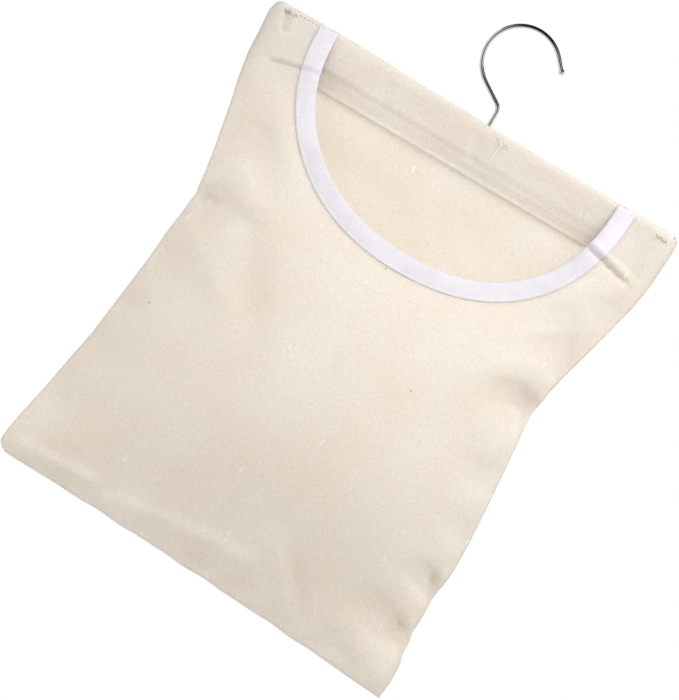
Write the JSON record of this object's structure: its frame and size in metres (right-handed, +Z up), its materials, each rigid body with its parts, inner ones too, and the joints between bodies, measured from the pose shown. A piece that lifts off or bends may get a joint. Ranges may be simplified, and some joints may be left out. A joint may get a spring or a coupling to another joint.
{
  "type": "peg bag",
  "caption": "Hanging cloth pouch for clothes pegs: calico front and back, bound scoop mouth at the front, wooden bar sewn into the top edge, and a turning wire hook.",
  "frame": {"origin": "where the inside top of the hook's loop bears on the line or rail that the bag hangs from", "axes": "+Z up as the bag hangs, +X to the right seen from the front, +Y from the front to the back"},
  "size_m": [0.3423, 0.1047, 0.4704],
  "materials": {
    "hook_chrome": "bright plated wire",
    "washer_zinc": "zinc plated",
    "bar_wood": "sanded, unvarnished",
    "calico": "unbleached plain-weave cotton with slubs",
    "binding_tape": "white cotton tape, folded over the edge",
    "thread": "cotton sewing thread"
  },
  "bodies": {
    "hook": {"hook": "hook_chrome", "hook_washer": "washer_zinc"},
    "bag": {"hanger_bar": "bar_wood", "back_panel": "calico", "front_panel": "calico", "scoop_binding": "binding_tape", "hem_stitching": "thread", "binding_stitching": "thread", "left_shoulder_stitching": "thread", "right_shoulder_stitching": "thread", "left_corner_tack": "thread", "right_corner_tack": "thread"}
  },
  "joints": [
    {"name": "hook_swivel", "type": "hinge", "parent": "hook", "child": "bag", "pos_m": [0.00247, 0, -0.08], "axis": [0, 0, 1], "continuous": true}
  ]
}
